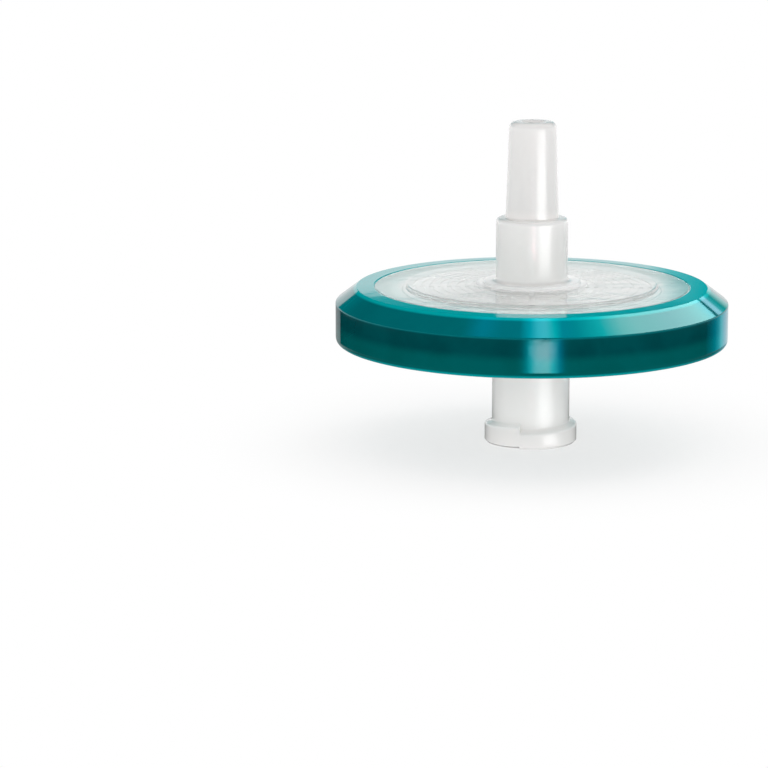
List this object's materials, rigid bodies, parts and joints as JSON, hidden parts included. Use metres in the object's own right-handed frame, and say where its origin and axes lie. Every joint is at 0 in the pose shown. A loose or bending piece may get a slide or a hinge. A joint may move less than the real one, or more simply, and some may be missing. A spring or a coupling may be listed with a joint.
{
  "type": "syringe filter",
  "caption": "Disc-shaped syringe filter: clear ribbed shells clamp a membrane inside a teal ring, with a lock socket below and a slip tip above.",
  "frame": {"origin": "centre of the inlet's end face, which the filter stands on", "axes": "+Z along the common axis from inlet to outlet; +X and +Y across the disc, with the steps of the lock lugs at 256.5 and 76.5 degrees from +X towards +Y"},
  "size_m": [0.033, 0.033, 0.0273],
  "materials": {
    "clear_housing": "moulded clear polypropylene, milky where it is thick, glossy",
    "membrane": "white matt polymer membrane",
    "teal_ring": "tinted transparent polypropylene, glossy"
  },
  "bodies": {
    "root": {"inlet_housing": "clear_housing", "outlet_housing": "clear_housing", "membrane": "membrane", "overmould_ring": "teal_ring"}
  },
  "joints": []
}
